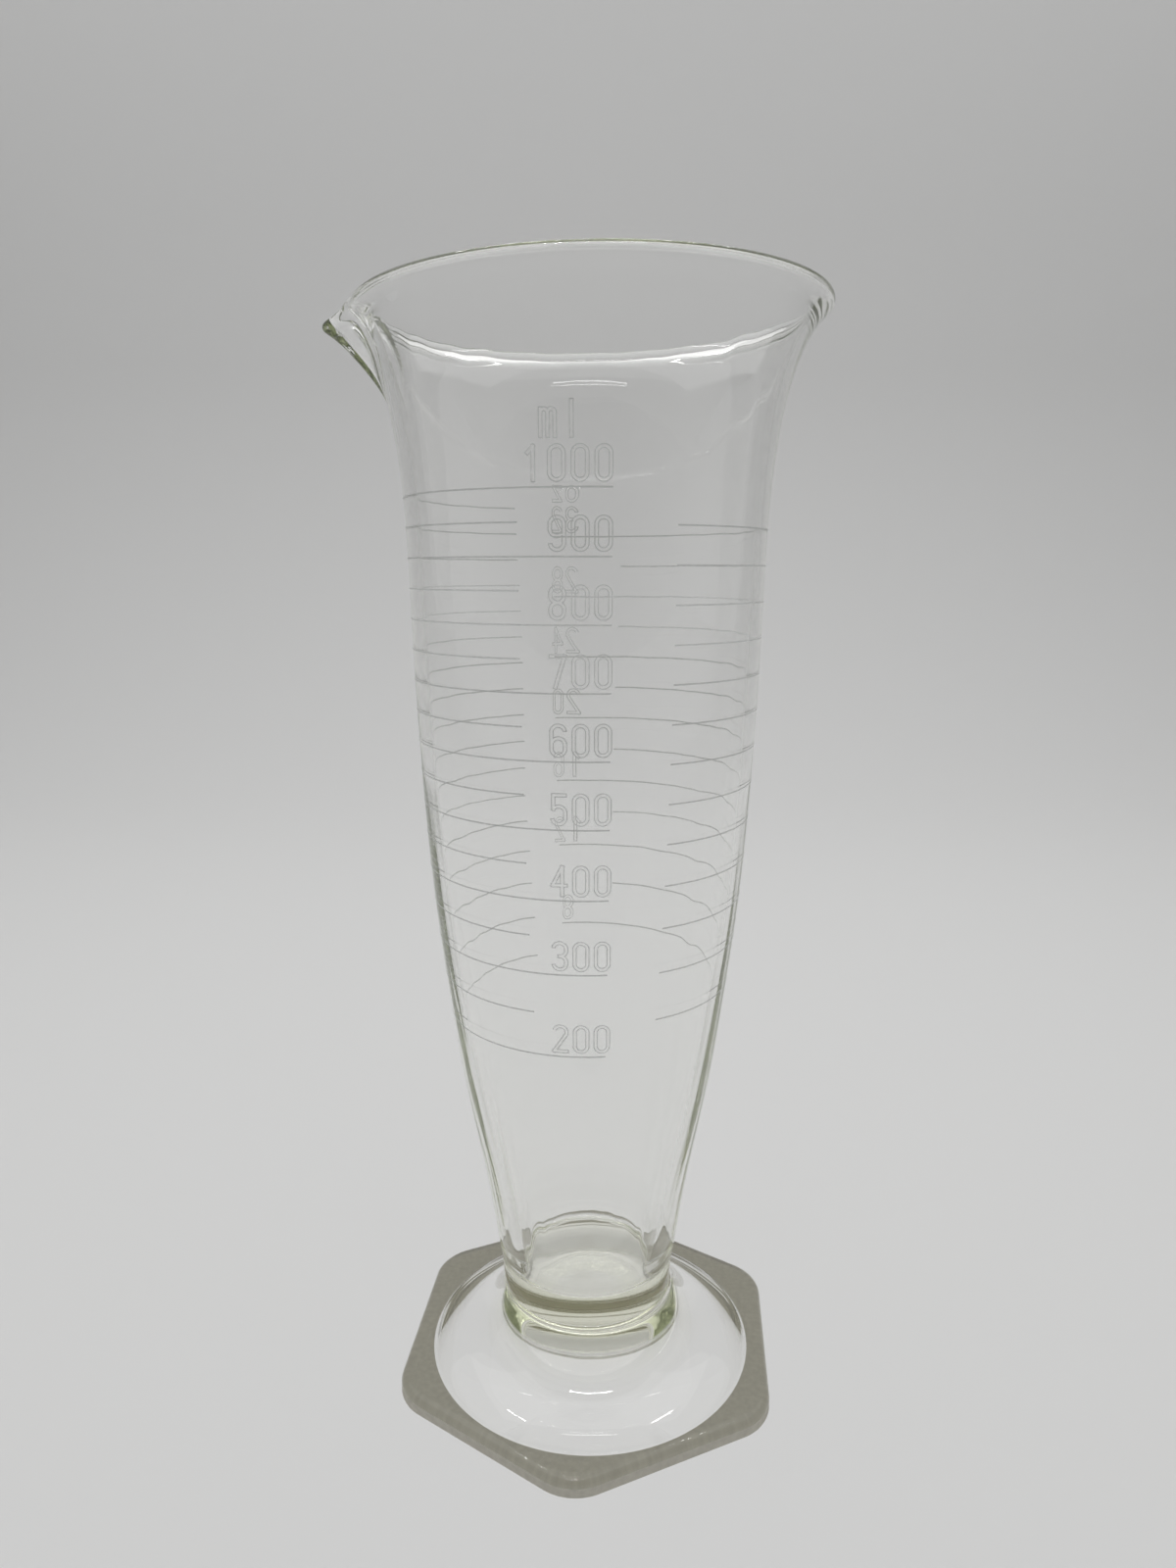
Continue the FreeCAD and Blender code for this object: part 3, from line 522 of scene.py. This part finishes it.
def ground_glass():
    """Ground glass, matt and pale, for the underside and the flange's straight sides."""
    material, nodes, links, shader = new_material("ground_glass")
    place = nodes.new("ShaderNodeTexCoord")
    grain = nodes.new("ShaderNodeTexNoise")
    grain.inputs["Scale"].default_value = 600.0
    grain.inputs["Detail"].default_value = 5.0
    ramp = nodes.new("ShaderNodeValToRGB")
    ramp.color_ramp.elements[0].color = (0.52, 0.50, 0.44, 1)
    ramp.color_ramp.elements[1].color = (0.60, 0.58, 0.51, 1)
    ramp.color_ramp.elements[0].position = 0.3
    ramp.color_ramp.elements[1].position = 0.7
    links.new(place.outputs["Object"], grain.inputs["Vector"])
    links.new(grain.outputs["Fac"], ramp.inputs["Fac"])
    links.new(ramp.outputs["Color"], shader.inputs["Base Color"])
    shader.inputs["Roughness"].default_value = 1.0
    shader.inputs["Specular IOR Level"].default_value = 0.0
    return material


def frosting():
    """Frosted marks: a thin pale bloom that lets some of the background through."""
    material, nodes, links, shader = new_material("frosted_marks")
    place = nodes.new("ShaderNodeTexCoord")
    grain = nodes.new("ShaderNodeTexNoise")
    grain.inputs["Scale"].default_value = 900.0
    ramp = nodes.new("ShaderNodeValToRGB")
    ramp.color_ramp.elements[0].color = (0.62, 0.63, 0.62, 1)
    ramp.color_ramp.elements[1].color = (0.85, 0.86, 0.85, 1)
    links.new(place.outputs["Object"], grain.inputs["Vector"])
    links.new(grain.outputs["Fac"], ramp.inputs["Fac"])
    links.new(ramp.outputs["Color"], shader.inputs["Base Color"])
    shader.inputs["Roughness"].default_value = 1.0
    shader.inputs["Specular IOR Level"].default_value = 0.0
    shader.inputs["Alpha"].default_value = 0.5
    return material


# ---------------------------------------------------------------- stage, light and camera


def make_stage():
    """A seamless pale sweep: floor, soft bend and wall."""
    material, _, _, shader = new_material("sweep")
    shader.inputs["Base Color"].default_value = (0.78, 0.78, 0.775, 1)
    shader.inputs["Roughness"].default_value = 0.9
    shader.inputs["Specular IOR Level"].default_value = 0.1
    half_width, front, bend, radius, top = 2600.0, -1500.0, 700.0, 500.0, 2600.0
    profile = [(front, -FLOOR_GAP)]
    for step in range(25):
        tilt = math.radians(90 * step / 24)
        profile.append((bend + radius * math.sin(tilt), radius * (1 - math.cos(tilt)) - FLOOR_GAP))
    profile.append((bend + radius, top))
    points = []
    for y, z in profile:
        points += [(-half_width, y, z), (half_width, y, z)]
    faces = [(2 * i, 2 * i + 1, 2 * i + 3, 2 * i + 2) for i in range(len(profile) - 1)]
    sweep = mesh_piece("sweep", points, faces, material)


def area_light(name, place, target, size, power):
    """A soft rectangular light aimed at a point, lengths in millimetres."""
    data = bpy.data.lights.new(name, "AREA")
    data.shape = "RECTANGLE"
    data.size, data.size_y = size[0] * MM, size[1] * MM
    data.energy = power
    light = bpy.data.objects.new(name, data)
    light.location = Vector(place) * MM
    aim = Vector(target) - Vector(place)
    light.rotation_euler = aim.to_track_quat("-Z", "Y").to_euler()
    bpy.context.scene.collection.objects.link(light)


def make_lights():
    """A broad soft light overhead, and two thin ones for the fine highlights."""
    area_light("overhead", (0, 450, 1300), (0, 350, 0), (2400, 1500), 7.0)
    area_light("strip_front", (0, -330, 900), (0, 0, 200), (420, 14), 1.0)
    area_light("strip_back", (0, 420, 1000), (0, 0, 0), (700, 14), 1.0)


def make_world():
    """An even pale studio all round, darker towards the camera's side of the room."""
    world = bpy.data.worlds.new("studio")
    world.use_nodes = True
    nodes, links = world.node_tree.nodes, world.node_tree.links
    place = nodes.new("ShaderNodeTexCoord")
    split = nodes.new("ShaderNodeSeparateXYZ")
    ramp = nodes.new("ShaderNodeMapRange")
    ramp.inputs["From Min"].default_value = -1.0
    ramp.inputs["From Max"].default_value = -0.2
    ramp.inputs["To Min"].default_value = 0.18
    ramp.inputs["To Max"].default_value = 0.50
    links.new(place.outputs["Generated"], split.inputs["Vector"])
    links.new(split.outputs["Y"], ramp.inputs["Value"])
    background = nodes["Background"]
    background.inputs["Color"].default_value = (1.0, 1.0, 1.0, 1)
    links.new(ramp.outputs["Result"], background.inputs["Strength"])
    bpy.context.scene.world = world


def make_camera():
    """The photograph's viewing angle."""
    data = bpy.data.cameras.new("camera")
    data.lens = CAMERA_LENS
    data.sensor_width = SENSOR
    data.clip_start = 0.01
    camera = bpy.data.objects.new("camera", data)
    camera.location = Vector(CAMERA_PLACE) * MM
    camera.rotation_euler = (math.pi / 2 - CAMERA_PITCH, 0, 0)
    bpy.context.scene.collection.objects.link(camera)
    bpy.context.scene.camera = camera


def set_look():
    """Plain colour handling, and enough light bounces for light that is guided inside the glass."""
    scene = bpy.context.scene
    scene.view_settings.view_transform = "Standard"
    scene.cycles.max_bounces = 256
    scene.cycles.transmission_bounces = 256
    scene.cycles.transparent_max_bounces = 32
    scene.cycles.glossy_bounces = 256
    scene.cycles.caustics_reflective = False
    scene.cycles.caustics_refractive = False


# ---------------------------------------------------------------- everything together


def keep(piece, slot, *nodes):
    """Fix a piece to the one rigid body, in place of the CAD nodes that it stands for."""
    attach(piece, "root")
    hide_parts(*nodes)


make_camera()
set_look()
make_stage()
make_lights()
make_world()
vessel = make_vessel(glass("vessel_glass", (0.975, 0.978, 0.962), 0.15))
seal = make_seal(glass("seal_glass", (0.985, 0.988, 0.90), 0.1))
foot = make_foot(glass("foot_glass", (0.988, 0.988, 0.965), 0.15), ground_glass())
# The glass casts no shadow and is left out of diffuse light, so the floor under it stays lit.
for clear_piece in (vessel, seal, foot):
    clear_piece.visible_shadow = False
    clear_piece.visible_diffuse = False
keep(vessel, "clear_glass", "glass_vessel")
keep(seal, "seal_glass", "fused_seal")
keep(foot, "pressed_glass", "hex_foot")

bloom = frosting()
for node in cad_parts:
    if "ml_" in node or "oz_" in node:
        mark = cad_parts[node]
        for slot in mark.material_slots:
            slot.material = bloom
